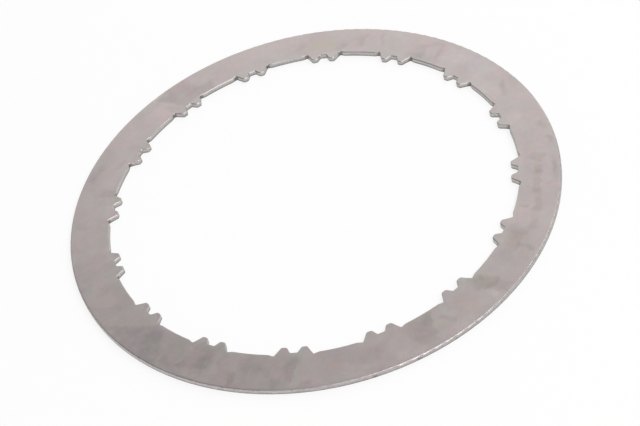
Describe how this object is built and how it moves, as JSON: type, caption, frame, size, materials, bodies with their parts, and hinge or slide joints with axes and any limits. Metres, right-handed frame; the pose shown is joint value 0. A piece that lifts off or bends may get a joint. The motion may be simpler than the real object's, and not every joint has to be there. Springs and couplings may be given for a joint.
{
  "type": "clutch backing plate",
  "caption": "Flat blanked steel ring for a multi-plate wet clutch, with paired spline teeth on its bore, a relief beside each pair and rolled-over edges on one face.",
  "frame": {"origin": "on the axis of the ring, in its lower face", "axes": "+Z along the axis of the ring, out of the face with the rolled-over edges; a pair of teeth is centred on +X"},
  "size_m": [0.15, 0.15, 0.0016],
  "materials": {
    "plate_steel": "satin, tumbled, with faint heat and oil stains"
  },
  "bodies": {
    "root": {"backing_plate": "plate_steel"}
  },
  "joints": []
}
